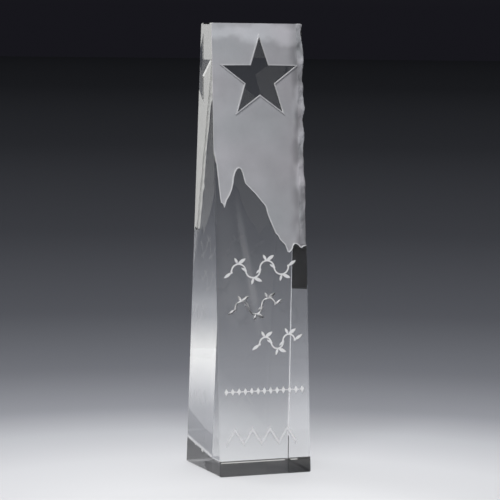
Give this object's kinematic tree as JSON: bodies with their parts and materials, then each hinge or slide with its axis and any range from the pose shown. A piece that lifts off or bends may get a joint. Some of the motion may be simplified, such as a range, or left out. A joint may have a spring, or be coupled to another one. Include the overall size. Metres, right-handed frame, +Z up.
{
  "type": "crystal award",
  "caption": "Tall clear wedge-shaped crystal tower with a carved frosted sky round a star and mountain.",
  "frame": {"origin": "centre of the bottom face, on the surface that the award stands on", "axes": "+Z up the tower, +X to the right across the front, -Y out of the engraved front"},
  "size_m": [0.06, 0.0598, 0.275],
  "materials": {
    "clear_crystal": "polished optical crystal",
    "frosted_crystal": "deep sandblasted, even frost",
    "chiselled_crystal": "chiselled and sandblasted",
    "engraved_crystal": "fine sandblasted engraving"
  },
  "bodies": {
    "root": {"crystal_tower": "clear_crystal", "frosted_sky": "frosted_crystal", "chiselled_edge": "chiselled_crystal", "flourish_top": "engraved_crystal", "flourish_middle": "engraved_crystal", "flourish_bottom": "engraved_crystal", "name_rule": "engraved_crystal", "mark_band": "engraved_crystal"}
  },
  "joints": []
}
